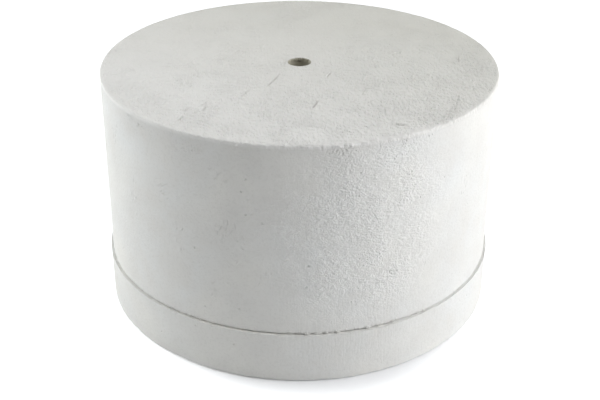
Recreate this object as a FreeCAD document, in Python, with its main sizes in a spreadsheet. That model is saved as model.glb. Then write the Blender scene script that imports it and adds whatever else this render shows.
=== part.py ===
import FreeCAD, Part
import Sketcher
import os

# Microwave kiln: a ceramic-fibre bell that lifts off a round base, with a dark microwave-absorbing
# lining cemented inside it and a square of kiln paper on the raised hearth.
#
# Millimetres, +Z up. The origin is the centre of the base's underside, and every piece is round about
# Z except the square paper. All driving dimensions are in the "Sizes" spreadsheet, and each piece is a
# PartDesign body whose sketches, fillets and place are bound to its cells.

V = FreeCAD.Vector

# Driving dimensions: alias, value, what it is. Lengths are millimetres.
SIZES = [
    ("lid_diameter", 164, "outside of the lid"),
    ("lid_height", 79.5, "rim to top face"),
    ("crown_thickness", 25.5, "fibre over the firing chamber"),
    ("cavity_mouth_diameter", 108, "fibre cavity at the rim"),
    ("cavity_ceiling_diameter", 88, "fibre cavity at its ceiling"),
    ("cavity_corner", 6, "round between cavity wall and ceiling"),
    ("mouth_round", 1.5, "round on the cavity's edge at the rim"),
    ("shoulder_round", 1.5, "round between the lid's side and top"),
    ("seam_round", 0.5, "round on the two edges that meet at the seam"),
    ("vent_diameter", 9.2, "vent through the crown and the lining"),
    ("lining_thickness", 4, "microwave-absorbing lining"),
    ("lining_cement", 0.2, "cement between the lining's wall and the fibre"),
    ("lining_rise", 6, "rim to the lining's foot"),
    ("lining_corner", 2.5, "round inside the lining, wall to ceiling"),
    ("lining_lip", 1.2, "round on the inner edge of the lining's foot"),
    ("base_overhang", 1, "base stands out past the lid by this much all round"),
    ("base_thickness", 22, "base under the seam"),
    ("base_foot_round", 1, "round on the base's lower edge"),
    ("hearth_height", 10, "raised hearth over the seam"),
    ("hearth_clearance", 3, "hearth to lining, all round"),
    ("hearth_bevel", 1.5, "bevel on the hearth's edge"),
    ("hearth_root", 2, "round where the hearth rises from the base"),
    ("paper_thickness", 0.8, "kiln paper"),
    ("paper_margin", 4.2, "paper's corners stand in from the hearth's bevel by this much"),
]

# Sizes worked out from the ones above: alias, formula, what it is.
DERIVED = [
    ("lid_radius", "=lid_diameter / 2", "outside of the lid"),
    ("base_radius", "=lid_radius + base_overhang", "outside of the base"),
    ("mouth_radius", "=cavity_mouth_diameter / 2", "fibre cavity at the rim"),
    ("ceiling_radius", "=cavity_ceiling_diameter / 2", "fibre cavity at its ceiling"),
    ("cavity_depth", "=lid_height - crown_thickness", "rim to the fibre's ceiling"),
    ("wall_slope", "=(mouth_radius - ceiling_radius) / cavity_depth", "cavity's narrowing per millimetre"),
    ("lining_foot_radius", "=mouth_radius - wall_slope * lining_rise - lining_cement", "lining's outside"),
    ("lining_top_radius", "=ceiling_radius - lining_cement", "lining's outside, ceiling"),
    ("lining_depth", "=cavity_depth - lining_rise", "lining's foot to the fibre's ceiling"),
    ("lining_back_corner", "=cavity_corner + 2 * lining_cement", "round on the lining's outside top"),
    ("chamber_depth", "=lining_depth - lining_thickness", "lining's foot to the chamber's ceiling"),
    ("chamber_level", "=cavity_depth - lining_thickness", "rim to the chamber's ceiling"),
    ("chamber_foot_radius", "=lining_foot_radius - lining_thickness", "lining's inside, foot"),
    ("chamber_top_radius", "=chamber_foot_radius - wall_slope * chamber_depth", "lining's inside, ceiling"),
    ("hearth_radius", "=chamber_foot_radius - hearth_clearance", "outside of the hearth"),
    ("paper_reach", "=hearth_radius - hearth_bevel - paper_margin", "centre to the paper's corners"),
    ("paper_side", "=paper_reach * sqrt(2)", "side of the square paper"),
    ("hearth_level", "=base_thickness + hearth_height", "underside to the hearth's top"),
    ("vent_radius", "=vent_diameter / 2", "vent through the crown and the lining"),
]


def make_sheet(doc):
    """The spreadsheet that every piece reads: one row per size, with its meaning beside it."""
    sheet = doc.addObject("Spreadsheet::Sheet", "Sizes")
    for row, (alias, value, meaning) in enumerate(SIZES + DERIVED, start=1):
        sheet.set(f"A{row}", alias)
        sheet.set(f"B{row}", str(value))
        sheet.setAlias(f"B{row}", alias)
        sheet.set(f"C{row}", meaning)
    doc.recompute()


def origin_plane(body, role):
    """One of the body's own origin planes, such as XZ_Plane."""
    return next(f for f in body.Origin.OriginFeatures if f.Role == role)


def new_body(doc, label, level=None):
    """An empty body. Its frame stands at the height that the sheet's cell gives, or at the origin."""
    body = doc.addObject("PartDesign::Body", label)
    body.Label = label
    if level:
        body.setExpression("Placement.Base.z", f"Sizes.{level}")
    return body


def new_sketch(body, name, role):
    """An empty sketch on one of the body's origin planes."""
    sketch = body.newObject("Sketcher::SketchObject", name)
    sketch.AttachmentSupport = [(origin_plane(body, role), "")]
    sketch.MapMode = "FlatFace"
    return sketch


def bind(sketch, kind, where, cell):
    """Adds a dimension to the sketch and ties it to a cell of the sheet."""
    value = sketch.Document.Sizes.get(cell)
    index = sketch.addConstraint(Sketcher.Constraint(kind, *where, value))
    sketch.setExpression(f"Constraints[{index}]", f"Sizes.{cell}")


def profile_sketch(body, name, corners):
    """A closed outline in the body's XZ plane with one straight side between each corner and the next.

    A corner is (x cell, z cell), and None stands for 0. Each corner is tied to the sheet by its two
    coordinates, so the outline has nothing left free."""
    sketch = new_sketch(body, name, "XZ_Plane")
    sizes = body.Document.Sizes
    points = [V(*(sizes.get(cell) if cell else 0 for cell in corner), 0) for corner in corners]
    for start, end in zip(points, points[1:] + points[:1]):
        sketch.addGeometry(Part.LineSegment(start, end))
    count = len(points)
    for side in range(count):
        sketch.addConstraint(Sketcher.Constraint("Coincident", side, 2, (side + 1) % count, 1))
    for side, (x_cell, z_cell) in enumerate(corners):
        if x_cell:
            bind(sketch, "DistanceX", (-1, 1, side, 1), x_cell)
        else:
            sketch.addConstraint(Sketcher.Constraint("PointOnObject", side, 1, -2))
        if z_cell:
            bind(sketch, "DistanceY", (-1, 1, side, 1), z_cell)
        else:
            sketch.addConstraint(Sketcher.Constraint("PointOnObject", side, 1, -1))
    return sketch


def revolve(body, name, sketch):
    """Turns an outline a full turn about the body's Z axis."""
    feature = body.newObject("PartDesign::Revolution", name)
    feature.Profile = sketch
    feature.ReferenceAxis = (sketch, ["V_Axis"])
    feature.Angle = 360
    sketch.Visibility = False
    body.Document.recompute()


def ring_edge(shape, radius, level):
    """The name of the circular edge about Z that has this radius at this height."""
    near = 1e-4
    for number, edge in enumerate(shape.Edges, start=1):
        curve = edge.Curve
        if not isinstance(curve, Part.Circle):
            continue
        if abs(curve.Radius - radius) < near and abs(curve.Center.z - level) < near:
            return f"Edge{number}"
    raise ValueError(f"no ring of radius {radius} at height {level}")


def dress_ring(body, kind, name, radius, level, size_cell):
    """A Fillet or Chamfer on one ring of the body's tip, its size tied to a cell of the sheet."""
    base = body.Tip
    edge = ring_edge(base.Shape, radius, level)
    feature = body.newObject(f"PartDesign::{kind}", name)
    feature.Base = (base, [edge])
    bound = {"Fillet": "Radius", "Chamfer": "Size"}[kind]
    feature.setExpression(bound, f"Sizes.{size_cell}")
    body.Document.recompute()


def cut_vent(body):
    """The vent: a round hole along Z, right through whatever the body has on its axis."""
    sketch = new_sketch(body, f"{body.Label}_vent_outline", "XY_Plane")
    sketch.addGeometry(Part.Circle(V(0, 0, 0), V(0, 0, 1), body.Document.Sizes.vent_radius))
    sketch.addConstraint(Sketcher.Constraint("Coincident", 0, 3, -1, 1))
    bind(sketch, "Radius", (0,), "vent_radius")
    solid_before = body.Tip.Shape.Volume
    vent = body.newObject("PartDesign::Pocket", f"{body.Label}_vent")
    vent.Profile = sketch
    vent.Type = "ThroughAll"
    vent.Reversed = True
    sketch.Visibility = False
    body.Document.recompute()
    if vent.Shape.Volume >= solid_before:
        raise ValueError(f"the vent cuts nothing out of {body.Label}")


def make_base_plate(doc):
    """Round base with a raised hearth in its middle, pressed in one piece from ceramic fibre."""
    sizes = doc.Sizes
    body = new_body(doc, "base_plate")
    outline = [
        (None, None),
        ("base_radius", None),
        ("base_radius", "base_thickness"),
        ("hearth_radius", "base_thickness"),
        ("hearth_radius", "hearth_level"),
        (None, "hearth_level"),
    ]
    revolve(body, "base_form", profile_sketch(body, "base_outline", outline))
    dress_ring(body, "Fillet", "foot_edge", sizes.base_radius, 0, "base_foot_round")
    dress_ring(body, "Fillet", "seam_edge", sizes.base_radius, sizes.base_thickness, "seam_round")
    dress_ring(body, "Fillet", "root_edge", sizes.hearth_radius, sizes.base_thickness, "hearth_root")
    dress_ring(body, "Chamfer", "rim_edge", sizes.hearth_radius, sizes.hearth_level, "hearth_bevel")
    return body


def make_kiln_paper(doc):
    """Square of fibre release paper that lies loose on the hearth under the glass."""
    body = new_body(doc, "kiln_paper", "hearth_level")
    sketch = new_sketch(body, "paper_outline", "XY_Plane")
    half = doc.Sizes.paper_side / 2
    corners = [V(-half, -half, 0), V(half, -half, 0), V(half, half, 0), V(-half, half, 0)]
    for start, end in zip(corners, corners[1:] + corners[:1]):
        sketch.addGeometry(Part.LineSegment(start, end))
    for side, direction in enumerate(["Horizontal", "Vertical", "Horizontal", "Vertical"]):
        sketch.addConstraint(Sketcher.Constraint("Coincident", side, 2, (side + 1) % len(corners), 1))
        sketch.addConstraint(Sketcher.Constraint(direction, side))
    sketch.addConstraint(Sketcher.Constraint("Symmetric", 0, 1, 2, 1, -1, 1))
    bind(sketch, "DistanceX", (0, 1, 0, 2), "paper_side")
    bind(sketch, "DistanceY", (1, 1, 1, 2), "paper_side")
    pad = body.newObject("PartDesign::Pad", "paper_form")
    pad.Profile = sketch
    pad.setExpression("Length", "Sizes.paper_thickness")
    sketch.Visibility = False
    doc.recompute()
    return body


def make_lid_shell(doc):
    """Thick bell of vacuum-formed ceramic fibre: a tapered cavity, a heavy crown and a vent through it."""
    sizes = doc.Sizes
    body = new_body(doc, "lid_shell", "base_thickness")
    outline = [
        ("mouth_radius", None),
        ("lid_radius", None),
        ("lid_radius", "lid_height"),
        (None, "lid_height"),
        (None, "cavity_depth"),
        ("ceiling_radius", "cavity_depth"),
    ]
    revolve(body, "shell_form", profile_sketch(body, "shell_outline", outline))
    dress_ring(body, "Fillet", "shoulder", sizes.lid_radius, sizes.lid_height, "shoulder_round")
    dress_ring(body, "Fillet", "seam_edge", sizes.lid_radius, 0, "seam_round")
    dress_ring(body, "Fillet", "mouth_edge", sizes.mouth_radius, 0, "mouth_round")
    dress_ring(body, "Fillet", "cavity_edge", sizes.ceiling_radius, sizes.cavity_depth, "cavity_corner")
    cut_vent(body)
    return body


def make_lid_susceptor(doc):
    """Dark silicon-carbide lining that absorbs the microwaves, a cup cemented into the lid's cavity.

    Its frame stands at the lid's rim, as the shell's does."""
    sizes = doc.Sizes
    body = new_body(doc, "lid_susceptor", "base_thickness")
    outline = [
        ("chamber_foot_radius", "lining_rise"),
        ("lining_foot_radius", "lining_rise"),
        ("lining_top_radius", "cavity_depth"),
        (None, "cavity_depth"),
        (None, "chamber_level"),
        ("chamber_top_radius", "chamber_level"),
    ]
    revolve(body, "lining_form", profile_sketch(body, "lining_outline", outline))
    back, inside, foot = sizes.lining_top_radius, sizes.chamber_top_radius, sizes.chamber_foot_radius
    dress_ring(body, "Fillet", "back_corner", back, sizes.cavity_depth, "lining_back_corner")
    dress_ring(body, "Fillet", "inside_corner", inside, sizes.chamber_level, "lining_corner")
    dress_ring(body, "Fillet", "lip", foot, sizes.lining_rise, "lining_lip")
    cut_vent(body)
    return body


def check_document(doc, bodies):
    """Stops if any object failed to compute or any piece isn't one valid solid."""
    for item in doc.Objects:
        if "Invalid" in item.State or "Error" in item.State:
            raise ValueError(f"{item.Label} didn't compute: {item.State}")
    for body in bodies:
        shape = body.Shape
        if shape.isNull() or not shape.isValid() or len(shape.Solids) != 1:
            raise ValueError(f"{body.Label} isn't one valid solid")


def main():
    doc = FreeCAD.newDocument("microwave_kiln")
    make_sheet(doc)
    bodies = [make_base_plate(doc), make_kiln_paper(doc), make_lid_shell(doc), make_lid_susceptor(doc)]
    doc.recompute()
    check_document(doc, bodies)
    os.makedirs("parts", exist_ok=True)
    for body in bodies:
        body.Shape.exportStep(f"parts/{body.Label}.step")
        box = body.Shape.BoundBox
        print(f"{body.Label}: {body.Shape.Volume:.0f} mm3, z {box.ZMin:.2f} to {box.ZMax:.2f}")


main()
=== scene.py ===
import math
import random

import bmesh
import bpy
import numpy as np
from mathutils import Euler, Matrix, Vector


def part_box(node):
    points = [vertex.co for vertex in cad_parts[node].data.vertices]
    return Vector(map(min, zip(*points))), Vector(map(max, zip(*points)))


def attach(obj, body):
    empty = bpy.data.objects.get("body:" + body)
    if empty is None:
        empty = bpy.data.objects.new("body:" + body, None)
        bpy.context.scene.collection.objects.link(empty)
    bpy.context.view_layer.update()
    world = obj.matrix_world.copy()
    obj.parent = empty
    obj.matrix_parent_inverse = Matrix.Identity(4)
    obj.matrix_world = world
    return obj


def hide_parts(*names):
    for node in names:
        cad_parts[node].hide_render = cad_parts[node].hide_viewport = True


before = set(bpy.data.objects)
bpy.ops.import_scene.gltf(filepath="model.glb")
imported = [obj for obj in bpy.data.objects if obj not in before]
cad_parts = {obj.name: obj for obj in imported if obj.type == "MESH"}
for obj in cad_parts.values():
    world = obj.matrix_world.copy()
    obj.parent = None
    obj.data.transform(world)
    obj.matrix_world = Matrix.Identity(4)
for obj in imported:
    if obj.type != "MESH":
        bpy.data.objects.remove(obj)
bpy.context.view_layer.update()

# ---- Camera -------------------------------------------------------------------------------------
# A short telephoto in front of the kiln and above it, so that the whole top of the lid shows.
mm = 0.001
film_width = 36
focal_length = 66.56
camera_back, camera_up = 432.8 * mm, 266.76 * mm
looking_down = math.radians(28.02)
turned_left = -0.0012
leaning = 0.0048
camera_data = bpy.data.cameras.new("camera")
camera_data.sensor_width = film_width
camera_data.lens = focal_length
camera = bpy.data.objects.new("camera", camera_data)
bpy.context.scene.collection.objects.link(camera)
bpy.context.scene.camera = camera
camera.location = (0, -camera_back, camera_up)
aim = Euler((math.pi / 2 - looking_down, 0, turned_left)).to_matrix() @ Matrix.Rotation(leaning, 3, "Z")
camera.rotation_euler = aim.to_euler()

bpy.context.scene.view_settings.view_transform = "Standard"


# ---- Floor and light ----------------------------------------------------------------------------
# A white table top that runs out of sight, in a dim white room. Large softboxes stand on the right
# and behind on the left, low enough to graze the felt, so the front left stays the darkest. Weak
# ones at the left and overhead lift the shade there.
def linear(code):
    """Linear RGBA of an sRGB colour written as #RRGGBB."""
    levels = [int(code[place:place + 2], 16) / 255 for place in (1, 3, 5)]
    return [level / 12.92 if level <= 0.04045 else ((level + 0.055) / 1.055) ** 2.4
            for level in levels] + [1]


def add_node(tree, kind, inputs=None, **settings):
    """Adds a node with its settings. An input takes a value, or another node's output as a link."""
    node = tree.nodes.new(kind)
    for name, value in settings.items():
        setattr(node, name, value)
    for key, value in (inputs or {}).items():
        if isinstance(value, bpy.types.NodeSocket):
            tree.links.new(value, node.inputs[key])
        else:
            node.inputs[key].default_value = value
    return node


def start_material(name):
    """A new material with an empty node tree."""
    material = bpy.data.materials.new(name)
    material.use_nodes = True
    material.node_tree.nodes.clear()
    return material, material.node_tree


def seen_directly(tree):
    """1 where the eye looks straight, or by a mirror or through glass, at the surface. Otherwise 0."""
    path = add_node(tree, "ShaderNodeLightPath").outputs
    seen = path["Is Camera Ray"]
    for ray in ("Is Glossy Ray", "Is Transmission Ray"):
        seen = add_node(tree, "ShaderNodeMath", {0: seen, 1: path[ray]}, operation="MAXIMUM").outputs[0]
    return seen


floor_reach = 6
floor_corners = [(-floor_reach, -floor_reach, 0), (floor_reach, -floor_reach, 0),
                 (floor_reach, floor_reach, 0), (-floor_reach, floor_reach, 0)]
floor_mesh = bpy.data.meshes.new("floor")
floor_mesh.from_pydata(floor_corners, [], [(0, 1, 2, 3)])
floor = bpy.data.objects.new("floor", floor_mesh)
bpy.context.scene.collection.objects.link(floor)
# White laminate: a plain diffuse white, and a little of its own light to the eye alone, so that the
# open table is pure white while the object's shadow stays. The glow is weakest right beside the base,
# a painted shadow laid over the real one, and this painted shadow is narrower at the sides and shifted right.
lift_beside, lift_open, lift_far = 0.09, 0.5, 1.0
far_from, far_to = 0.25, 0.8
painted_shadow_reach = 16 * mm
painted_shadow_narrowing = 1.25
painted_shadow_shift = 7 * mm
base_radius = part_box("base_plate")[1][0]
white_table, tree = start_material("white_laminate_table")
table = add_node(tree, "ShaderNodeBsdfDiffuse", {"Color": linear("#F6F7F9")})
place_of = add_node(tree, "ShaderNodeTexCoord").outputs["Object"]
squeezed = add_node(tree, "ShaderNodeMapping", {"Vector": place_of, "Scale": (painted_shadow_narrowing, 1, 1),
                                                "Location": (-painted_shadow_shift, 0, 0)})
from_axis = add_node(tree, "ShaderNodeVectorMath", {0: squeezed.outputs[0]}, operation="LENGTH")
# Painted shadow: the glow is lowest beside the base and rises to the open level at its reach.
openness = add_node(tree, "ShaderNodeMapRange", {
    "Value": from_axis.outputs["Value"], "From Min": base_radius, "From Max": base_radius + painted_shadow_reach,
    "To Min": lift_beside, "To Max": lift_open}, interpolation_type="SMOOTHSTEP")
farness = add_node(tree, "ShaderNodeMapRange", {
    "Value": from_axis.outputs["Value"], "From Min": far_from, "From Max": far_to,
    "To Min": 0.0, "To Max": lift_far - lift_open})
full_lift = add_node(tree, "ShaderNodeMath", {0: openness.outputs[0], 1: farness.outputs[0]},
                     operation="ADD")
lift = add_node(tree, "ShaderNodeMath", {0: seen_directly(tree), 1: full_lift.outputs[0]},
                operation="MULTIPLY")
glow = add_node(tree, "ShaderNodeEmission", {"Color": linear("#FDFEFF"), "Strength": lift.outputs[0]})
both = add_node(tree, "ShaderNodeAddShader", {0: table.outputs[0], 1: glow.outputs[0]})
add_node(tree, "ShaderNodeOutputMaterial", {"Surface": both.outputs[0]})
floor_mesh.materials.append(white_table)

room_level = 0.06
world = bpy.data.worlds.new("white_room")
bpy.context.scene.world = world
world.use_nodes = True
world.node_tree.nodes.clear()
tree = world.node_tree
room_light = add_node(tree, "ShaderNodeMapRange", {"Value": seen_directly(tree), "To Min": room_level,
                                                   "To Max": 1.0})
room = add_node(tree, "ShaderNodeBackground", {"Color": (1, 1, 1, 1), "Strength": room_light.outputs[0]})
add_node(tree, "ShaderNodeOutputWorld", {"Surface": room.outputs[0]})

softbox_distance = 0.9
softbox_side = 0.8
aimed_height = 0.05


def softbox(name, azimuth, elevation, watts, colour):
    """A square panel light aimed at the kiln. Azimuth 0 is the camera's side and 90 is the right."""
    data = bpy.data.lights.new(name, "AREA")
    data.shape = "SQUARE"
    data.size = softbox_side
    data.energy = watts
    data.color = linear(colour)[:3]
    lamp = bpy.data.objects.new(name, data)
    bpy.context.scene.collection.objects.link(lamp)
    around, up = math.radians(azimuth), math.radians(elevation)
    way = Vector((math.sin(around) * math.cos(up), -math.cos(around) * math.cos(up), math.sin(up)))
    lamp.location = Vector((0, 0, aimed_height)) + way * softbox_distance
    lamp.rotation_euler = way.to_track_quat("Z", "Y").to_euler()
    lamp.visible_camera = False


softbox("softbox_right", 80, 24, 7.4, "#FEFEFF")
softbox("softbox_left", -105, 25, 4.9, "#FDFFFF")
softbox("softbox_left_low", -115, 10, 2.1, "#FEFFFE")
softbox("softbox_left_front", -80, 24, 0.6, "#FDFFFF")
softbox("softbox_over", 0, 80, 1.6, "#FEFFFE")


# ---- base_plate ---------------------------------------------------------------------------------
# The round base with the raised hearth in its middle, one piece of vacuum-formed ceramic fibre. The
# lid's rim sits on its outer ring, and the hearth keeps the work up inside the lid.
finest_arc = 0.5 * mm
pole_radius = 0.01 * mm
fewest_round = 12


def turned_rings(corners, closed=True):
    """Rings of a turned form, each (radius, height, step), from the corners of its outline.

    A corner is (radius, height, rounding, step): the step is the mesh's spacing on to the next."""
    rings = []
    count = len(corners)
    tangents = []
    for index, (radius, height, rounding, step) in enumerate(corners):
        here = Vector((radius, height))
        if not rounding:
            tangents.append((here, here))
            rings.append([(here, step)])
            continue
        back = (Vector(corners[index - 1][:2]) - here).normalized()
        on = (Vector(corners[(index + 1) % count][:2]) - here).normalized()
        half = back.angle(on) / 2
        reach = rounding / math.tan(half)
        centre = here + (back + on).normalized() * (rounding / math.sin(half))
        start, end = here + back * reach, here + on * reach
        turn = (start - centre).angle_signed(end - centre)
        pieces = max(4, math.ceil(abs(turn) * rounding / min(step, finest_arc)))
        arm = start - centre
        arc = [centre + Matrix.Rotation(-turn * piece / pieces, 2) @ arm for piece in range(pieces + 1)]
        tangents.append((start, end))
        rings.append([(point, min(step, corners[index - 1][3])) for point in arc])
    outline = []
    for index, group in enumerate(rings):
        outline += group
        if index + 1 == count and not closed:
            break
        start, end = tangents[index][1], tangents[(index + 1) % count][0]
        step = corners[index][3]
        parts = max(1, round((end - start).length / step))
        outline += [(start.lerp(end, part / parts), step) for part in range(1, parts)]
    return [(max(point.x, 0), point.y, step) for point, step in outline]


def turned_mesh(name, rings, closed=True):
    """A turned mesh. Each ring has points at its own spacing, and triangles join it to the next."""
    points, faces, spans = [], [], []
    for radius, height, step in rings:
        count = 1 if radius < pole_radius else max(fewest_round, round(2 * math.pi * radius / step))
        spans.append((len(points), count))
        for number in range(count):
            angle = math.pi / 2 + 2 * math.pi * number / count
            points.append((radius * math.cos(angle), radius * math.sin(angle), height))
    following = spans[1:] + (spans[:1] if closed else [])
    for (first, first_count), (second, second_count) in zip(spans, following):
        # The ring that lags behind in its way round gets the next triangle.
        here, there = 0, 0
        while here < first_count or there < second_count:
            near, far = first + here % first_count, second + there % second_count
            lagging = there >= second_count or (here + 1) / first_count <= (there + 1) / second_count
            if here < first_count and lagging:
                here += 1
                if first_count > 1:
                    faces.append((near, first + here % first_count, far))
            else:
                there += 1
                if second_count > 1:
                    faces.append((near, second + there % second_count, far))
    mesh = bpy.data.meshes.new(name)
    mesh.from_pydata(points, [], faces)
    work = bmesh.new()
    work.from_mesh(mesh)
    bmesh.ops.recalc_face_normals(work, faces=work.faces)
    work.to_mesh(mesh)
    work.free()
    mesh.shade_smooth()
    return mesh


def place(name, mesh, material):
    """An object for a finished mesh, in its place and in its material."""
    mesh.materials.append(material)
    piece = bpy.data.objects.new(name, mesh)
    bpy.context.scene.collection.objects.link(piece)
    return piece


def start_geometry_tree(name, sizes):
    """An empty Geometry Nodes tree that takes a mesh and the named sizes. Returns tree, input, output."""
    tree = bpy.data.node_groups.new(name, "GeometryNodeTree")
    tree.interface.new_socket("Geometry", in_out="INPUT", socket_type="NodeSocketGeometry")
    for size in sizes:
        kind = "NodeSocketInt" if size == "seed" else "NodeSocketFloat"
        tree.interface.new_socket(size, in_out="INPUT", socket_type=kind)
    tree.interface.new_socket("Geometry", in_out="OUTPUT", socket_type="NodeSocketGeometry")
    return tree, add_node(tree, "NodeGroupInput").outputs, add_node(tree, "NodeGroupOutput").inputs


def run_tree(piece, tree, **sizes):
    """Runs a tree on a piece with the named sizes, and keeps the result as the piece's plain mesh."""
    modifier = piece.modifiers.new(tree.name, "NODES")
    modifier.node_group = tree
    for item in tree.interface.items_tree:
        if item.in_out == "INPUT" and item.name in sizes:
            modifier[item.identifier] = sizes[item.name]
    result = bpy.data.meshes.new_from_object(piece.evaluated_get(bpy.context.evaluated_depsgraph_get()))
    piece.modifiers.remove(modifier)
    before = piece.data
    piece.data = result
    bpy.data.meshes.remove(before)
    result.name = piece.name


def combined(tree, operation, *values):
    """Several values worked into one by an operation, from the first to the last."""
    total = values[0]
    for value in values[1:]:
        total = add_node(tree, "ShaderNodeMath", {0: total, 1: value}, operation=operation).outputs[0]
    return total


def within(tree, *spans, soft=False):
    """0 before the start of a span and 1 past its end, and several spans multiplied.

    A span is (value, start, end), and may go on with what it gives before its start and past its end."""
    shares = []
    for value, start, end, *given in spans:
        least, most = given or (0.0, 1.0)
        share = add_node(tree, "ShaderNodeMapRange", {
            "Value": value, "From Min": start, "From Max": end, "To Min": least, "To Max": most},
            interpolation_type="SMOOTHSTEP" if soft else "LINEAR")
        shares.append(share.outputs[0])
    return combined(tree, "MULTIPLY", *shares)


def near_spot(tree, place_of, centre, reach):
    """1 at a spot of the surface, falling to 0 at its reach."""
    distance = add_node(tree, "ShaderNodeVectorMath", {0: place_of, 1: centre}, operation="DISTANCE")
    return within(tree, (distance.outputs["Value"], reach, reach * 0.35), soft=True)


def out_from_axis(tree, place_of):
    """How far a place lies from the kiln's axis."""
    flat = add_node(tree, "ShaderNodeVectorMath", {0: place_of, 1: (1, 1, 0)}, operation="MULTIPLY")
    length = add_node(tree, "ShaderNodeVectorMath", {0: flat.outputs[0]}, operation="LENGTH")
    return length.outputs["Value"]


def clouds(tree, place_of, spread, detail, *span, turn=0.0):
    """Soft random swells, about as far apart as a length, or as one length along each axis.

    They may be turned about Z, and a span as in within() says from where to where they show."""
    scale = 1.0
    if isinstance(spread, tuple):
        streaked = add_node(tree, "ShaderNodeMapping", {
            "Vector": place_of, "Rotation": (0, 0, -turn), "Scale": [1 / length for length in spread]})
        place_of = streaked.outputs[0]
    else:
        scale = 1 / spread
    swells = add_node(tree, "ShaderNodeTexNoise", {"Vector": place_of, "Scale": scale, "Detail": detail,
                                                   "Roughness": 0.6}).outputs[0]
    return within(tree, (swells, *span)) if span else swells


def stained(tree, colour, *stains):
    """A colour with others laid over it in turn, each (where, strength, colour)."""
    for where, strength, code in stains:
        colour = add_node(tree, "ShaderNodeMix", {
            "Factor": combined(tree, "MULTIPLY", where, strength), "A": colour, "B": linear(code)},
            data_type="RGBA").outputs["Result"]
    return colour


def finish_material(tree, colour, height, unit, **finish):
    """Ends a material: its colour, its relief, with heights that count in a unit, and its finish."""
    relief = add_node(tree, "ShaderNodeBump", {"Height": height, "Distance": unit, "Strength": 1.0})
    surface = add_node(tree, "ShaderNodeBsdfPrincipled", {"Base Color": colour, **finish,
                                                         "Normal": relief.outputs[0]})
    add_node(tree, "ShaderNodeOutputMaterial", {"Surface": surface.outputs[0]})


def uneven_noise(tree, place_of, spread, seed, detail):
    """Noise for a mesh, with its own seed and with swells about as far apart as the spread."""
    scale = combined(tree, "DIVIDE", 1.0, spread)
    return add_node(tree, "ShaderNodeTexNoise", {"Vector": place_of, "W": seed, "Scale": scale,
                                                 "Detail": detail}, noise_dimensions="4D").outputs[0]


def sink_mesh(tree, geometry, depth):
    """A mesh moved inwards from its true form by a depth."""
    normal = add_node(tree, "GeometryNodeInputNormal").outputs[0]
    inward = combined(tree, "MULTIPLY", depth, -1.0)
    offset = add_node(tree, "ShaderNodeVectorMath", {0: normal, "Scale": inward}, operation="SCALE")
    return add_node(tree, "GeometryNodeSetPosition", {"Geometry": geometry,
                                                      "Offset": offset.outputs[0]}).outputs[0]


def sprinkle(tree, geometry, density, body_size, seed, least, most, material):
    """A mesh with small rough bodies stuck to it at random, all in one material.

    Each body is a ball stretched along its axes by anything from the least to the most."""
    spots = add_node(tree, "GeometryNodeDistributePointsOnFaces", {
        "Mesh": geometry, "Density": density, "Seed": seed})
    ball = add_node(tree, "GeometryNodeMeshIcoSphere", {"Radius": body_size, "Subdivisions": 1})
    stretch = add_node(tree, "FunctionNodeRandomValue", {"Min": least, "Max": most, "Seed": seed},
                       data_type="FLOAT_VECTOR")
    bodies = add_node(tree, "GeometryNodeInstanceOnPoints", {
        "Points": spots.outputs["Points"], "Instance": ball.outputs["Mesh"],
        "Rotation": spots.outputs["Rotation"], "Scale": stretch.outputs["Value"]})
    whole = add_node(tree, "GeometryNodeJoinGeometry", {"Geometry": geometry})
    tree.links.new(bodies.outputs[0], whole.inputs[0])
    real = add_node(tree, "GeometryNodeRealizeInstances", {"Geometry": whole.outputs[0]})
    return add_node(tree, "GeometryNodeSetMaterial", {"Geometry": real.outputs[0],
                                                      "Material": material}).outputs[0]


def swelling_tree():
    """Felt that dried unevenly: broad swells and small lumps, always inwards from the true form."""
    tree, size, result = start_geometry_tree(
        "felt_swelling", ["swell_depth", "swell_size", "lump_depth", "lump_size", "seed"])
    place_of = add_node(tree, "GeometryNodeInputPosition").outputs[0]
    depths = [combined(tree, "MULTIPLY", uneven_noise(tree, place_of, size[spread], size["seed"], 1.0),
                       size[depth])
              for depth, spread in (("swell_depth", "swell_size"), ("lump_depth", "lump_size"))]
    moved = sink_mesh(tree, size["Geometry"], combined(tree, "ADD", *depths))
    tree.links.new(moved, result["Geometry"])
    return tree


def worn_edge_tree(material):
    """A handled edge of felt: small ragged chips along one ring, and loose crumbs caught beside them."""
    tree, size, result = start_geometry_tree(
        "worn_edge", ["edge_radius", "edge_height", "reach", "chip_depth", "chip_size", "crumb_size",
                      "crumbs_per_area", "seed"])
    place_of = add_node(tree, "GeometryNodeInputPosition").outputs[0]
    height = add_node(tree, "ShaderNodeSeparateXYZ", {0: place_of}).outputs["Z"]
    legs = [combined(tree, "SUBTRACT", out_from_axis(tree, place_of), size["edge_radius"]),
            combined(tree, "SUBTRACT", height, size["edge_height"])]
    squares = [combined(tree, "MULTIPLY", leg, leg) for leg in legs]
    distance = add_node(tree, "ShaderNodeMath", {0: combined(tree, "ADD", *squares)}, operation="SQRT")
    near = within(tree, (distance.outputs[0], size["reach"], 0.0), soft=True)
    noise = uneven_noise(tree, place_of, size["chip_size"], size["seed"], 2.0)
    depth = combined(tree, "MULTIPLY", within(tree, (noise, 0.5, 0.72)), near, size["chip_depth"])
    chipped = sink_mesh(tree, size["Geometry"], depth)
    density = combined(tree, "MULTIPLY", near, size["crumbs_per_area"])
    crumbed = sprinkle(tree, chipped, density, size["crumb_size"], size["seed"], (0.3, 0.3, 0.2),
                       (1.3, 1.0, 0.6), material)
    tree.links.new(crumbed, result["Geometry"])
    return tree


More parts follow.
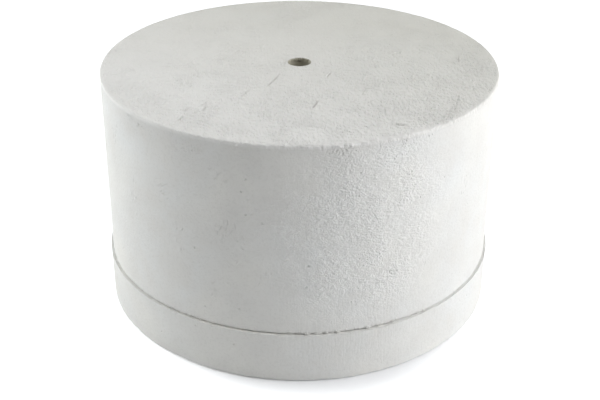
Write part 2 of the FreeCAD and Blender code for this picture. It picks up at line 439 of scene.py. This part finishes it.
def felt_finish(tree):
    """Colour and relief that every face of the fibre shares, with painted shade in its pores. Returns colour,
    height in mm and place.
    """
    place_of = add_node(tree, "ShaderNodeTexCoord").outputs["Object"]
    # The pores are painted darker: painted shade in them.
    shade = stained(tree, linear("#F4F3EE"),
                    (clouds(tree, place_of, tint_spread, 1.0, 0.4, 0.6), 1.0, "#F1F2F0"),
                    (clouds(tree, place_of, mottle_spread, 4.0, 0.35, 0.65), 1.0, "#EEEDE9"),
                    (clouds(tree, place_of, pore_spread, 3.0, 0.5, 0.34), painted_pore_shade, "#B9B7AF"))
    grain = combined(tree, "MULTIPLY", clouds(tree, place_of, grain_spread, 4.0), grain_depth)
    return shade, grain, place_of


lid_low, lid_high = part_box("lid_shell")
lid_radius = lid_high[0]
seam_level = lid_low[2]
lid_top = lid_high[2]
hearth_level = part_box("base_plate")[1][2]
vent_radius = 4.6 * mm


def on_side(azimuth, height):
    """A place on the lid's side. Azimuth 0 is the front and 90 the right, in degrees."""
    around = math.radians(azimuth)
    return Vector((math.sin(around) * lid_radius, -math.cos(around) * lid_radius, height))


# Vacuum-formed ceramic fibre: chalky white felt with a fine grain. It keeps the open skin of its mould
# in patches, like orange peel, vertical rub marks where it was drawn out, blade marks on the flat
# faces, small pits, and a tan scorch where the vent lets the heat out, painted darker down its bore as
# painted shade. Depths count in millimetres.
tint_spread = 38 * mm
mottle_spread = 20 * mm
grain_spread = 1.1 * mm
grain_depth = 0.15
pore_spread = 1.0 * mm
painted_pore_shade = 0.10
felt, tree = start_material("vacuum_formed_ceramic_fibre")
shade, grain, place_of = felt_finish(tree)
split = add_node(tree, "ShaderNodeSeparateXYZ", {0: place_of}).outputs
radius = out_from_axis(tree, place_of)
on_top = within(tree, (split["Z"], lid_top - 2 * mm, lid_top - 1 * mm))
beside = within(tree, (on_top, 1, 0))

# The orange peel is strongest at the front right, and fades before it reaches the upper edge. Where it lies,
# the felt is also painted nearly white, a painted highlight.
peel_depth = 0.64
peel_patch = 11 * mm
peel_centre, peel_reach = on_side(15, 66 * mm), 50 * mm
goosebump_size = (0.7 * mm, 0.7 * mm, 0.6 * mm)
dash_size, dash_share = (2.0 * mm, 2.0 * mm, 0.7 * mm), 0.35
peel_and_painted_highlight = combined(tree, "MULTIPLY", beside, clouds(tree, place_of, peel_patch, 3.0, 0.38, 0.62, 0.3, 1.0),
                      within(tree, (near_spot(tree, place_of, peel_centre, peel_reach), 0, 1, 0.06, 1.0),
                             (split["Z"], lid_top - 2 * mm, lid_top - 4 * mm, 0.3, 1.0)))
dashes = combined(tree, "MULTIPLY", clouds(tree, place_of, dash_size, 1.5, 0.4, 0.62), dash_share)
peel = combined(tree, "ADD", clouds(tree, place_of, goosebump_size, 2.0), dashes)
peel = combined(tree, "MULTIPLY", peel, peel_and_painted_highlight, peel_depth)

# The rub marks lie below it and all over the left, and fade before the far right.
rub_depth = 0.13
rub_centre, rub_reach = on_side(14, 28 * mm), 42 * mm
rub_size = (0.8 * mm, 0.8 * mm, 6 * mm)
rub_where = combined(tree, "MAXIMUM",
                     within(tree, (near_spot(tree, place_of, rub_centre, rub_reach), 0, 1, 0.12, 1.0)),
                     within(tree, (split["X"], 0, -60 * mm, 0.12, 0.5)))
rub = combined(tree, "MULTIPLY", clouds(tree, place_of, rub_size, 2.0), beside, rub_where,
               within(tree, (split["X"], 45 * mm, 65 * mm, 1.0, 0.3)), rub_depth)

# Just under the lid's upper edge the skin is torn where fingers lift it. Each place is (azimuth in
# degrees, reach in millimetres).
torn_depth = 0.11
torn_below = 3 * mm
torn_size = (0.9 * mm, 0.9 * mm, 0.7 * mm)
torn_places = ((-47, 17), (-31, 15), (-14, 10), (11, 14), (27, 15), (150, 22), (-120, 18))
torn_spots = [near_spot(tree, place_of, on_side(azimuth, lid_top - torn_below), reach * mm)
              for azimuth, reach in torn_places]
torn = combined(tree, "MULTIPLY", clouds(tree, place_of, torn_size, 2.0, 0.36, 0.46, -1, 0),
                combined(tree, "MAXIMUM", *torn_spots),
                within(tree, (split["Z"], lid_top - 0.4 * mm, lid_top - 1.4 * mm)), torn_depth)

# A blade trimmed the top, and left faint parallel streaks in patches.
blade_depth = 0.28
blade_size, blade_way = (7 * mm, 1.0 * mm, 9 * mm), math.radians(68)
blade_patch = 17 * mm
blade = combined(tree, "MULTIPLY", clouds(tree, place_of, blade_size, 2.0, 0.35, 0.65, turn=blade_way),
                 on_top, clouds(tree, place_of, blade_patch, 2.0, 0.4, 0.6), blade_depth)
pit_depth = 0.3
pit_spacing = 6 * mm
cells = add_node(tree, "ShaderNodeTexVoronoi", {"Vector": place_of, "Scale": 1 / pit_spacing}).outputs
pits_with_painted_shade = within(tree, (cells["Distance"], 0.09, 0.03), (cells["Color"], 0.55, 0.6))
# The vent's bore is painted tan-grey: partly a real scorch, partly painted shade in the deep bore.
scorch_and_painted_shade = combined(tree, "MULTIPLY",
                    within(tree, (radius, vent_radius + 0.5 * mm, vent_radius), soft=True),
                    within(tree, (split["Z"], seam_level, lid_top - 6 * mm)))

# The top is painted lighter over its front half and darker towards the back right: painted light and painted
# shade for how the light falls across it.
painted_shade_way, painted_shade_reach = (0.5, 0.87, 0), 60 * mm
behind = add_node(tree, "ShaderNodeVectorMath", {0: place_of, 1: painted_shade_way}, operation="DOT_PRODUCT")
painted_shade_behind = combined(tree, "MULTIPLY", within(tree, (behind.outputs["Value"], -painted_shade_reach, painted_shade_reach)), on_top)
painted_light_front, painted_shade_back = stained(tree, shade, (on_top, 0.95, "#FBFAF7")), stained(tree, shade, (1.0, 0.7, "#E2E1D9"))
colour = add_node(tree, "ShaderNodeMix", {"Factor": painted_shade_behind, "A": painted_light_front, "B": painted_shade_back},
                  data_type="RGBA").outputs["Result"]

# The rims that meet are rubbed grey, and the hearth is baked to cream with the odd tan spill.
rim_inside, rim_outside = 53 * mm, lid_radius - 0.5 * mm
hearth_edge = 46 * mm
in_seam = within(tree, (split["Z"], seam_level - 0.3 * mm, seam_level - 0.1 * mm),
                 (split["Z"], seam_level + 0.3 * mm, seam_level + 0.1 * mm),
                 (radius, rim_inside, rim_inside + 2 * mm), (radius, rim_outside, rim_outside - 1.5 * mm))
rubbed = combined(tree, "MULTIPLY", in_seam, clouds(tree, place_of, 6 * mm, 3.0, 0.35, 0.65, 0.2, 0.8))
on_hearth = within(tree, (radius, hearth_edge + mm, hearth_edge), (split["Z"], seam_level, seam_level + mm),
                   (split["Z"], hearth_level + mm, hearth_level + 0.5 * mm))
baked = combined(tree, "MULTIPLY", on_hearth, clouds(tree, place_of, 24 * mm, 3.0, 0.3, 0.7, 0.25, 0.9))
spills = combined(tree, "MULTIPLY", on_hearth, clouds(tree, place_of, 5 * mm, 4.0, 0.66, 0.74))

# The skin of the top dried in small curds. It is more open towards the front, and smoother at the edge. The
# hollows between the curds are painted darker, painted shade.
curd_depth = 0.42
painted_curd_shade = 0.04
curd_size = (1.2 * mm, 2.0 * mm, 2 * mm)
curd_patch = 12 * mm
front_way = (0.3, -0.95, 0)
ahead = add_node(tree, "ShaderNodeVectorMath", {0: place_of, 1: front_way}, operation="DOT_PRODUCT")
curds = clouds(tree, place_of, curd_size, 2.5, 0.32, 0.68)
curded = combined(tree, "MULTIPLY", on_top, clouds(tree, place_of, curd_patch, 2.0, 0.42, 0.6, 0.55, 1.0),
                  within(tree, (ahead.outputs["Value"], -30 * mm, 70 * mm, 0.5, 2.2),
                         (radius, lid_radius - 0.6 * mm, lid_radius - 2.0 * mm, 0.45, 1.0)))
painted_crevice_shade = combined(tree, "MULTIPLY", within(tree, (curds, 0.5, 0.1)), curded)
# Cuts and pits are painted darker: painted shade in their hollows.
cut = add_node(tree, "ShaderNodeAttribute", attribute_name="cut").outputs["Fac"]
colour = stained(tree, colour, (peel_and_painted_highlight, 0.9, "#FFFFFC"), (rubbed, 1.0, "#DEDBD3"),
                 (baked, 1.0, "#E9E1D0"), (spills, 0.6, "#B79C74"), (cut, 0.2, "#A09E96"),
                 (pits_with_painted_shade, 0.15, "#9A968B"), (scorch_and_painted_shade, 1.0, "#B3AE9B"), (painted_crevice_shade, painted_curd_shade, "#C4C2BA"))
height = combined(tree, "ADD", grain, combined(tree, "MULTIPLY", curds, curded, curd_depth), peel, rub,
                  torn, blade, combined(tree, "MULTIPLY", pits_with_painted_shade, -pit_depth))
finish_material(tree, colour, height, mm, Roughness=0.95, IOR=1.2)


def read_points(mesh):
    """The places of a mesh's vertices, one row each."""
    points = np.empty(3 * len(mesh.vertices))
    mesh.vertices.foreach_get("co", points)
    return points.reshape(-1, 3)


hearth_radius = 45.7 * mm
hearth_bevel = 1.5 * mm
hearth_root = 2 * mm
bevel_round = 0.4 * mm
foot_round = 1 * mm
seam_round = 0.1 * mm
seam_gap = 0.05 * mm
hidden_step = 6 * mm
outer_step = 1.35 * mm
inner_step = 2 * mm
fine_step = 0.52 * mm
edge_band = 3 * mm

base_rings = turned_rings([
    (0, 0, 0, hidden_step),
    (base_radius - 4 * edge_band, 0, 0, inner_step),
    (base_radius - edge_band, 0, 0, fine_step),
    (base_radius, 0, foot_round, fine_step),
    (base_radius, edge_band, 0, outer_step),
    (base_radius, seam_level - edge_band, 0, fine_step),
    (base_radius, seam_level - seam_gap, seam_round, fine_step),
    (base_radius - edge_band, seam_level, 0, inner_step),
    (hearth_radius, seam_level, hearth_root, inner_step),
    (hearth_radius, hearth_level - hearth_bevel, bevel_round, fine_step),
    (hearth_radius - hearth_bevel, hearth_level, bevel_round, outer_step),
    (hearth_radius - 3 * hearth_bevel, hearth_level, 0, inner_step),
    (0, hearth_level, 0, inner_step)], closed=False)
base_plate = place("base_plate_felt", turned_mesh("base_plate_felt", base_rings, closed=False), felt)
swelling = swelling_tree()
worn_edge = worn_edge_tree(felt)
run_tree(base_plate, swelling, swell_depth=0.3 * mm, swell_size=16 * mm, lump_depth=0.12 * mm,
         lump_size=3 * mm, seed=3)
run_tree(base_plate, worn_edge, edge_radius=base_radius, edge_height=seam_level, reach=0.9 * mm,
         chip_depth=0.25 * mm, chip_size=1.4 * mm, crumb_size=0.2 * mm, crumbs_per_area=5e4, seed=5)
run_tree(base_plate, worn_edge, edge_radius=base_radius, edge_height=0.0, reach=2 * mm,
         chip_depth=0.35 * mm, chip_size=3 * mm, crumb_size=0.2 * mm, crumbs_per_area=1e4, seed=8)
# The rim of the base is worn lowest at the front, where the lid is set down first, and a little
# unevenly all the way round, in waves of (number round the rim, start).
front_wear = 0.08 * mm
uneven_wear = 0.26 * mm
wear_waves = ((5, 0.4), (17, 2.1), (61, 1.0), (97, 4.0))
points = read_points(base_plate.data)
outwards = np.linalg.norm(points[:, :2], axis=1)
around = np.arctan2(points[:, 0], -points[:, 1])
uneven = sum(np.sin(pace * around + start) for pace, start in wear_waves) / 2
worn = np.clip((outwards - base_radius) / edge_band + 1, 0, 1) * (points[:, 2] > seam_level - edge_band)
points[:, 2] -= front_wear * worn * np.clip(-points[:, 1] / base_radius, 0, 1) ** 4
points[:, 2] -= uneven_wear * worn * np.clip(uneven, 0, 1)
# No crumb stands out past the disc's side.
points[:, :2] *= np.minimum(1, base_radius / np.maximum(outwards, mm))[:, None]
base_plate.data.vertices.foreach_set("co", points.ravel())
base_plate.data.update()
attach(base_plate, "base")
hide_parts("base_plate")


# ---- kiln_paper ---------------------------------------------------------------------------------
# A square of thin ceramic-fibre paper that keeps molten glass off the hearth. It is cut with scissors
# and lies loose, flat but for the slight curl of its corners.
paper_low, paper_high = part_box("kiln_paper")
paper_side = paper_high[0] - paper_low[0]
paper_thickness = paper_high[2] - paper_low[2]
sheet_share = 0.9
paper_cells = 56
corner_curl = 0.5 * mm
flat_share = 0.6
snip = 0.25 * mm
paper_mesh = bpy.data.meshes.new("kiln_paper_sheet")
work = bmesh.new()
bmesh.ops.create_grid(work, x_segments=paper_cells, y_segments=paper_cells, size=paper_side / 2)
for vertex in work.verts:
    out = (abs(vertex.co.x) + abs(vertex.co.y)) / paper_side
    curl = max(0, out - flat_share) ** 2 / (1 - flat_share) ** 2
    vertex.co.z = paper_low[2] + corner_curl * curl
# The scissors never cut quite straight.
hand = random.Random(9)
waves = [(hand.uniform(0.3, 2.2), hand.uniform(0, math.tau)) for _ in range(5)]
for vertex in work.verts:
    for axis in (0, 1):
        if abs(abs(vertex.co[axis]) - paper_side / 2) < 1e-6:
            along = vertex.co[1 - axis] / mm
            wobble = sum(math.sin(pace * along + start) for pace, start in waves) / len(waves)
            vertex.co[axis] -= math.copysign(snip * (0.5 + 0.5 * wobble), vertex.co[axis])
bmesh.ops.solidify(work, geom=list(work.faces), thickness=-paper_thickness * sheet_share)
bmesh.ops.recalc_face_normals(work, faces=work.faces)
work.to_mesh(paper_mesh)
work.free()
paper_mesh.shade_smooth()

# Ceramic-fibre paper: soft white, with long fibres lying every way in its face, and a faint ring where
# hot glass stood on it.
fibre_size = (6 * mm, 0.35 * mm, 1 * mm)
fibre_ways = (15, 75, 130)
fibre_depth = 0.12
ring_radius = 19 * mm
paper_felt, tree = start_material("ceramic_fibre_paper")
shade, grain, place_of = felt_finish(tree)
fibres = [clouds(tree, place_of, fibre_size, 2.0, turn=math.radians(way)) for way in fibre_ways]
strands = within(tree, (combined(tree, "MAXIMUM", *fibres), 0.55, 0.75))
radius = out_from_axis(tree, place_of)
ring = combined(tree, "MULTIPLY", within(tree, (radius, ring_radius - 2 * mm, ring_radius),
                                         (radius, ring_radius + 2 * mm, ring_radius + 0.5 * mm), soft=True),
                clouds(tree, place_of, 12 * mm, 2.0, 0.35, 0.6))
colour = stained(tree, shade, (strands, 0.3, "#FBFAF6"), (ring, 0.5, "#CFC3AC"))
height = combined(tree, "ADD", grain, combined(tree, "MULTIPLY", strands, fibre_depth))
finish_material(tree, colour, height, mm, Roughness=0.9)
kiln_paper = place("kiln_paper_sheet", paper_mesh, paper_felt)
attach(kiln_paper, "paper")
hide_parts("kiln_paper")


# ---- lid_shell ----------------------------------------------------------------------------------
# The thick bell of vacuum-formed ceramic fibre: a heavy crown with a vent through it and a tapered
# cavity. It lifts off the base by hand, so its edges are rubbed and chipped.
shoulder_round = 0.8 * mm
vent_round = 0.6 * mm
vent_seen_depth = 10 * mm
mouth_radius = 54 * mm
mouth_round = 1.5 * mm
ceiling_radius = 44 * mm
cavity_corner = 6 * mm
ceiling_level = 76 * mm
wall_step = 3 * mm
bore_step = 4 * mm
lid_rings = turned_rings([
    (mouth_radius, seam_level, mouth_round, inner_step),
    (lid_radius - 3 * edge_band, seam_level, 0, outer_step),
    (lid_radius - edge_band, seam_level, 0, fine_step),
    (lid_radius, seam_level, seam_round, fine_step),
    (lid_radius, seam_level + edge_band, 0, outer_step),
    (lid_radius, lid_top - edge_band, 0, fine_step),
    (lid_radius, lid_top, shoulder_round, fine_step),
    (lid_radius - edge_band, lid_top, 0, outer_step),
    (2.5 * vent_radius, lid_top, 0, fine_step),
    (vent_radius, lid_top, vent_round, fine_step),
    (vent_radius, lid_top - vent_seen_depth, 0, inner_step),
    (vent_radius, ceiling_level, 0, bore_step),
    (ceiling_radius, ceiling_level, cavity_corner, wall_step)])
lid_shell = place("lid_shell_felt", turned_mesh("lid_shell_felt", lid_rings), felt)
run_tree(lid_shell, swelling, swell_depth=0.15 * mm, swell_size=18 * mm, lump_depth=0.12 * mm,
         lump_size=3 * mm, seed=11)
run_tree(lid_shell, worn_edge, edge_radius=lid_radius, edge_height=lid_top, reach=1.6 * mm,
         chip_depth=0.12 * mm, chip_size=2 * mm, crumb_size=0.18 * mm, crumbs_per_area=1.4e4, seed=2)
run_tree(lid_shell, worn_edge, edge_radius=lid_radius, edge_height=seam_level, reach=0.9 * mm,
         chip_depth=0.25 * mm, chip_size=1.2 * mm, crumb_size=0.2 * mm, crumbs_per_area=4e4, seed=7)


def on_lid(x, y):
    """A place on the lid's top, from millimetres right of the axis and behind it."""
    return Vector((x * mm, y * mm, lid_top))


def pit(azimuth, level, length=0.0):
    """A pit in the lid's side, or a short upright nick if it has a length. Level and length in mm."""
    return (on_side(azimuth, level * mm), on_side(azimuth, (level + length) * mm))


# Marks in the felt: how finely they are cut, and how they look, down to the depth at which a cut is painted
# darkest as painted shade.
marked_steps = (0.8 * mm, 0.45 * mm, 0.35 * mm)
burr_height = 0.45
fading_end = 0.15
darkest_cut = 0.5 * mm


def nearness(points, start, end, reach):
    """The points within reach of a stroke: their numbers, their distances and how far along they lie."""
    start, end = np.array(start), np.array(end)
    along = end - start
    boxed = np.flatnonzero((abs(points - (start + end) / 2) < abs(along) / 2 + reach).all(axis=1))
    nearby = points[boxed] - start
    share = np.clip(nearby @ along / max(along @ along, 1e-12), 0, 1)
    return boxed, np.linalg.norm(nearby - share[:, None] * along, axis=1), share


def mark(piece, strokes):
    """Cuts strokes into a piece. A stroke is (start, end, width, depth), and a negative depth is a crumb.

    The mesh is made finer round each stroke first. A cut pushes up a low burr on both sides, fades out
    at its ends, and is noted in the attribute "cut", by which the material paints shade into it."""
    mesh = piece.data
    for finest in marked_steps:
        points = read_points(mesh)
        pairs = np.empty(2 * len(mesh.edges), int)
        mesh.edges.foreach_get("vertices", pairs)
        starts, ends = points[pairs[0::2]], points[pairs[1::2]]
        long = np.linalg.norm(starts - ends, axis=1) > finest
        close = np.zeros(len(starts), bool)
        middles = (starts + ends) / 2
        for start, end, width, _ in strokes:
            reach = 1.2 * width + 0.4 * finest
            boxed, distance, _ = nearness(middles, start, end, reach)
            close[boxed[distance < reach]] = True
        work = bmesh.new()
        work.from_mesh(mesh)
        work.edges.ensure_lookup_table()
        chosen = [work.edges[index] for index in np.flatnonzero(close & long)]
        bmesh.ops.subdivide_edges(work, edges=chosen, cuts=1)
        bmesh.ops.triangulate(work, faces=[face for face in work.faces if len(face.verts) > 3])
        work.to_mesh(mesh)
        work.free()
    points = read_points(mesh)
    normals = np.empty(3 * len(points))
    mesh.vertex_normals.foreach_get("vector", normals)
    sunk = np.zeros(len(points))
    for start, end, width, depth in strokes:
        boxed, distance, share = nearness(points, start, end, 2 * width)
        fade = np.clip(4 * share * (1 - share) + fading_end, 0, 1) if (start - end).length else 1.0
        burr = burr_height * np.exp(-(3 * (distance - 0.9 * width) / width) ** 2) if depth > 0 else 0.0
        sunk[boxed] += depth * fade * (np.exp(-(2 * distance / width) ** 2) - burr)
    moved = points - normals.reshape(-1, 3) * sunk[:, None]
    # No burr or crumb rises above the lid's flat top.
    moved[:, 2] = np.minimum(moved[:, 2], lid_top)
    mesh.vertices.foreach_set("co", moved.ravel())
    cut = mesh.attributes.new("cut", "FLOAT", "POINT")
    cut.data.foreach_set("value", np.clip(sunk / darkest_cut, 0, 1))
    mesh.update()
    mesh.shade_smooth()


# Blade marks on the top, pits down the side, and ragged nicks in the edge with white crumbs beside them.
# Each is (start, end, width, depth) or (azimuth, level, width, depth), in millimetres and degrees.
blade_marks = [((-8, -14), (-13, -28), 0.8, 0.5), ((-37, -46), (-35, -42), 0.8, 0.8),
               ((5, -48), (7, -42), 0.8, 0.8), ((11, -17), (13, -11), 0.7, 0.5),
               ((25, -44), (29, -40), 0.7, 0.5), ((24, -36), (26, -29), 0.6, 0.35),
               ((20, -43), (22, -39), 0.6, 0.4), ((40, 10), (43, 12), 1.0, 0.8),
               ((34.5, -63), (38.5, -64), 1.3, 1.3), ((57, -56), (62, -33), 0.6, 0.22),
               ((54, -59), (57, -49), 0.6, 0.2), ((32, -56), (32, -48), 0.7, 0.3),
               ((67, 8), (66, 0), 0.6, 0.35), ((-22, -37), (-19, -30), 0.6, 0.35),
               ((-43, -52), (-41, -48), 0.7, 0.4), ((-44, -60), (-43, -56), 0.7, 0.4),
               ((-36, -52), (-35, -46), 0.6, 0.35), ((-5, 2), (-7, -6), 0.5, 0.25)]
side_pits = [(-30, 73, 0.7, 0.2), (-28, 95, 0.7, 0.2), (-22, 66, 0.6, 0.2), (-16, 61, 0.6, 0.22),
             (-11, 75, 0.6, 0.2), (-6, 46, 0.6, 0.2), (-19, 42, 0.6, 0.22), (2.4, 52.3, 0.8, 0.4),
             (1.6, 51.6, 0.6, -0.25), (2, 43, 0.8, 0.4), (2.9, 43.6, 0.6, -0.25), (27, 45, 0.8, 0.4),
             (30, 86, 0.8, 0.4), (-16, 31, 0.8, 0.3), (-14.5, 58, 0.6, 0.2), (14, 35, 0.6, 0.3),
             (96, 60, 0.9, 0.4), (140, 80, 0.9, 0.4), (170, 45, 0.8, 0.4), (-120, 70, 0.9, 0.4)]
edge_nicks = [(-50, 98.5, 1.4, 0.5), (-47, 97.5, 1.2, 0.6), (9, 98.5, 1.2, 0.5), (12, 98.5, 1.3, 0.5),
              (22, 98.5, 0.9, 0.35), (27, 98.5, 1.1, 0.5), (36, 98.5, 1.0, 0.45), (88, 99, 1.4, 0.6),
              (150, 99, 1.6, 0.7), (-140, 98, 1.3, 0.6), (-95, 99, 1.2, 0.5)]
edge_crumbs = [(-15.5, 100.2, 0.9, -0.5), (-11, 100.4, 0.7, -0.35), (-8, 100.5, 0.7, -0.35),
               (-20, 100, 0.6, -0.3), (10, 100.6, 0.7, -0.35), (13, 100.5, 0.7, -0.35)]
seam_nicks = [(-32, 1.5), (-28, 1.0), (-3, 1.2), (1.5, 1.5), (4, 2.0), (7, 1.0), (10, 1.5), (16, 1.0),
              (18, 2.0), (21.5, 1.5), (26, 1.5), (34, 2.0), (36.5, 1.0), (50, 1.2), (-70, 1.5),
              (120, 2.0), (-150, 2.0)]
# Scuffs: clusters of fine short strokes, each (azimuth, level, spread, strokes, lean from upright).
scuffs = [(-40, 75, 5, 12, 70), (-21, 86, 3.5, 7, 50), (-13, 73, 2.5, 6, 30), (-18.5, 63, 5, 15, 8),
          (-15.5, 51, 3, 7, 40), (-8.5, 47, 4, 9, 5), (-23, 36, 3.5, 6, 60), (-33, 57, 4, 6, 5),
          (-52, 62, 6, 9, 5), (-60, 85, 6, 8, 20), (34, 46, 3, 7, 50), (29, 84, 3, 8, 60), (52, 66, 6, 6, 10),
          (118, 70, 6, 8, 20), (165, 60, 7, 9, 70), (-150, 75, 6, 8, 10), (-105, 50, 6, 7, 40)]
# Nicks and crumbs in the seam are (azimuth, length) and (azimuth, spread), in degrees.
ledge_crumbs = [(-36, 8), (-30, 6), (0, 3), (13, 9), (20, 6), (29, 8), (100, 8), (-120, 8)]
seam_nick_width, seam_nick_depth = 0.7 * mm, 0.5 * mm
scuff_width = 0.5 * mm
scuff_depths = (0.16, 0.22, -0.16)
ledge_crumb_width, ledge_crumb_depth = 0.6 * mm, -0.32 * mm
crumbs_in_heap = 5
bites_in_nick = 4
strokes = [(on_lid(*start), on_lid(*end), width * mm, depth * mm)
           for start, end, width, depth in blade_marks]
for azimuth, level, width, depth in side_pits + edge_crumbs:
    strokes.append((*pit(azimuth, level), width * mm, depth * mm))
for azimuth, length in seam_nicks:
    strokes.append((on_side(azimuth, seam_level), on_side(azimuth + length, seam_level),
                    seam_nick_width, seam_nick_depth))
tear = random.Random(4)
for azimuth, level, spread, count, lean in scuffs:
    for _ in range(count):
        around = azimuth + math.degrees(tear.gauss(0, 0.5) * spread * mm / lid_radius)
        above = level + tear.gauss(0, 0.6) * spread
        length = tear.uniform(0.8, 3.2)
        tilt = math.radians(lean + tear.gauss(0, 12))
        aside = math.degrees(length * math.sin(tilt) * mm / lid_radius)
        strokes.append((on_side(around, above * mm),
                        on_side(around + aside, (above + length * math.cos(tilt)) * mm),
                        scuff_width, tear.choice(scuff_depths) * mm))
for azimuth, spread in ledge_crumbs:
    for _ in range(crumbs_in_heap):
        around = azimuth + tear.uniform(-0.5, 0.5) * spread
        above = seam_level + tear.uniform(0.3, 1.0) * mm
        onward = around + tear.uniform(0, 0.6)
        strokes.append((on_side(around, above), on_side(onward, above),
                        ledge_crumb_width, ledge_crumb_depth))
for azimuth, level, width, depth in edge_nicks:
    for _ in range(bites_in_nick):
        aside, above = tear.gauss(0, 0.9), tear.gauss(0, 0.5)
        part = tear.uniform(0.35, 0.7)
        strokes.append((*pit(azimuth + aside, level + above, tear.uniform(0, 1)),
                        width * part * mm, depth * part * mm))
mark(lid_shell, strokes)
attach(lid_shell, "lid")
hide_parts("lid_shell")


# ---- lid_susceptor ------------------------------------------------------------------------------
# The dark lining that turns microwaves into heat: silicon-carbide grit in a clay binder, cast as a
# cup and cemented into the lid's cavity. Single grains stand out of its face and glint.
lining_low, lining_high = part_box("lid_susceptor")
lining_foot_radius = lining_high[0]
lining_thickness = 4 * mm
lining_top_radius = 43.8 * mm
chamber_foot_radius = lining_foot_radius - lining_thickness
chamber_top_radius = 40.5 * mm
chamber_level = lining_high[2] - lining_thickness
chamber_step = 1.2 * mm
cemented_step = 4 * mm
foot_inside_round, foot_outside_round = 1.2 * mm, 0.2 * mm
lining_corner, chamber_corner = 6.4 * mm, 2.5 * mm
lining_vent_round = 0.5 * mm
lining_rings = turned_rings([
    (chamber_foot_radius, lining_low[2], foot_inside_round, chamber_step),
    (lining_foot_radius, lining_low[2], foot_outside_round, wall_step),
    (lining_top_radius, lining_high[2], lining_corner, cemented_step),
    (vent_radius, lining_high[2], 0, inner_step),
    (vent_radius, chamber_level, lining_vent_round, chamber_step),
    (chamber_top_radius, chamber_level, chamber_corner, chamber_step)])
# Silicon carbide in clay: near black, with single crystals that glint, and browned towards the foot where
# air gets in. The crystals are drawn at about 0.7 mm, coarser than they are, so that they show.
crystal_spread = 0.7 * mm
browned_height = 22 * mm
clay_spread = 2.5 * mm
lining_relief = 0.25 * mm
grit, tree = start_material("silicon_carbide_lining")
place_of = add_node(tree, "ShaderNodeTexCoord").outputs["Object"]
speck = add_node(tree, "ShaderNodeTexVoronoi", {"Vector": place_of, "Scale": 1 / crystal_spread})
facet = add_node(tree, "ShaderNodeSeparateColor", {0: speck.outputs["Color"]}).outputs
above = add_node(tree, "ShaderNodeSeparateXYZ", {0: place_of}).outputs["Z"]
browned = combined(tree, "MULTIPLY",
                   within(tree, (above, lining_low[2] + browned_height, lining_low[2]), soft=True),
                   clouds(tree, place_of, 9 * mm, 3.0, 0.35, 0.65))
colour = stained(tree, linear("#262524"), (within(tree, (facet[0], 0.3, 0.95)), 1.0, "#4B4A49"),
                 (browned, 0.5, "#5A4A3A"))
gloss = within(tree, (facet[1], 0.75, 0.95, 0.75, 0.28))
height = combined(tree, "ADD", facet[2], clouds(tree, place_of, clay_spread, 3.0))
finish_material(tree, colour, height, lining_relief, Roughness=gloss, IOR=2.0)
susceptor = place("lid_susceptor_lining", turned_mesh("lid_susceptor_lining", lining_rings), grit)
run_tree(susceptor, swelling, swell_depth=0.0, swell_size=20 * mm, lump_depth=0.15 * mm,
         lump_size=4 * mm, seed=21)


def grit_tree(material):
    """Crystals that stand out of the faces turned to the firing chamber."""
    tree, size, result = start_geometry_tree(
        "grit", ["inside_radius", "crystal_size", "crystals_per_area", "seed"])
    place_of = add_node(tree, "GeometryNodeInputPosition").outputs[0]
    normal = add_node(tree, "GeometryNodeInputNormal").outputs[0]
    flat = add_node(tree, "ShaderNodeVectorMath", {0: place_of, 1: (1, 1, 0)}, operation="MULTIPLY")
    outward = add_node(tree, "ShaderNodeVectorMath", {0: flat.outputs[0], 1: normal},
                       operation="DOT_PRODUCT").outputs["Value"]
    upward = add_node(tree, "ShaderNodeSeparateXYZ", {0: normal}).outputs["Z"]
    wall = combined(tree, "LESS_THAN", outward, -0.5 * chamber_top_radius)
    ceiling = combined(tree, "MULTIPLY", combined(tree, "LESS_THAN", upward, -0.5),
                       combined(tree, "LESS_THAN", out_from_axis(tree, place_of), size["inside_radius"]))
    faces = combined(tree, "MAXIMUM", wall, ceiling)
    gritty = sprinkle(tree, size["Geometry"], combined(tree, "MULTIPLY", faces, size["crystals_per_area"]),
                      size["crystal_size"], size["seed"], (0.4, 0.4, 0.3), (1.2, 1.0, 0.8), material)
    tree.links.new(gritty, result["Geometry"])
    return tree


run_tree(susceptor, grit_tree(grit), inside_radius=chamber_foot_radius, crystal_size=0.38 * mm,
         crystals_per_area=1.6e5, seed=6)
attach(susceptor, "lid")
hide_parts("lid_susceptor")
